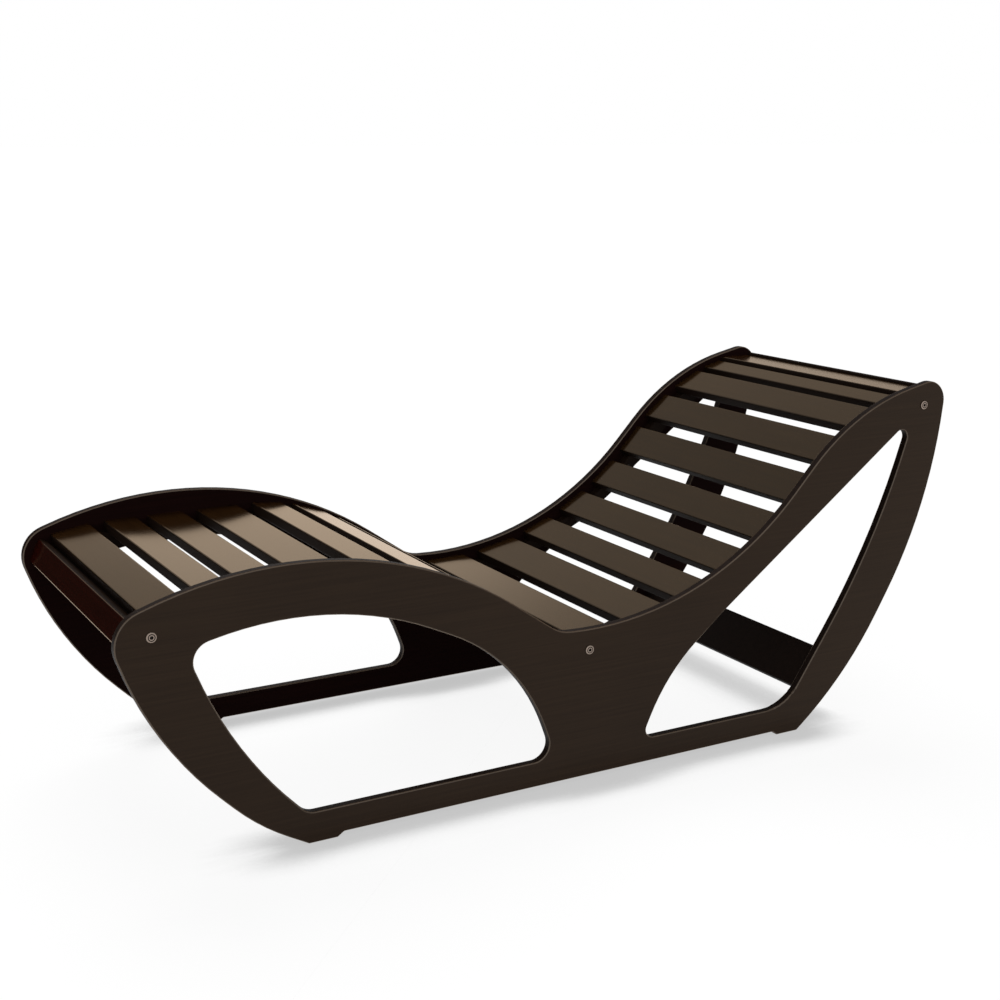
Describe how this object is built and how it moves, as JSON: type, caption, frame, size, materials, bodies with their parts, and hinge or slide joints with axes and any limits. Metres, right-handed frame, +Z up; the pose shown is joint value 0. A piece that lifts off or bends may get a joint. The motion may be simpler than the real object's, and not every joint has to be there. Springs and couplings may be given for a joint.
{
  "type": "relaxation bed",
  "caption": "Wave-shaped lounger of dark lacquered wood: curved side panels with large cut-outs carry cross slats that form leg rest, seat and raised back.",
  "frame": {"origin": "on the floor, under the centre of the bounding box", "axes": "+X from the foot end to the head end, +Y to the lying person's right, +Z up"},
  "size_m": [1.8003, 0.665, 0.7199],
  "materials": {
    "dark_panel_lacquer": "dark stained, satin lacquer",
    "dark_slat_lacquer": "dark stained, semi-gloss lacquer",
    "steel_fastener": "bright plated",
    "beech_dowel": "raw"
  },
  "bodies": {
    "root": {"back_bearer_left": "dark_slat_lacquer", "back_bearer_right": "dark_slat_lacquer", "back_slat_1": "dark_slat_lacquer", "back_slat_2": "dark_slat_lacquer", "back_slat_3": "dark_slat_lacquer", "back_slat_4": "dark_slat_lacquer", "back_slat_5": "dark_slat_lacquer", "back_slat_6": "dark_slat_lacquer", "barrel_nuts": "steel_fastener", "bearer_screws": "steel_fastener", "connector_bolts": "steel_fastener", "end_slat": "dark_slat_lacquer", "front_cross_rail": "dark_slat_lacquer", "head_board": "dark_slat_lacquer", "head_cross_rail": "dark_slat_lacquer", "head_slat": "dark_slat_lacquer", "leg_bearer_left": "dark_slat_lacquer", "leg_bearer_right": "dark_slat_lacquer", "leg_slat_1": "dark_slat_lacquer", "leg_slat_2": "dark_slat_lacquer", "leg_slat_3": "dark_slat_lacquer", "leg_slat_4": "dark_slat_lacquer", "leg_slat_5": "dark_slat_lacquer", "leg_slat_6": "dark_slat_lacquer", "leg_slat_7": "dark_slat_lacquer", "middle_cross_rail": "dark_slat_lacquer", "neck_slat": "dark_slat_lacquer", "rear_stretcher": "dark_panel_lacquer", "seat_slat_1": "dark_slat_lacquer", "seat_slat_2": "dark_slat_lacquer", "seat_slat_3": "dark_slat_lacquer", "side_panel_left": "dark_panel_lacquer", "side_panel_right": "dark_panel_lacquer", "slat_screws": "steel_fastener", "wood_dowels": "beech_dowel"}
  },
  "joints": []
}
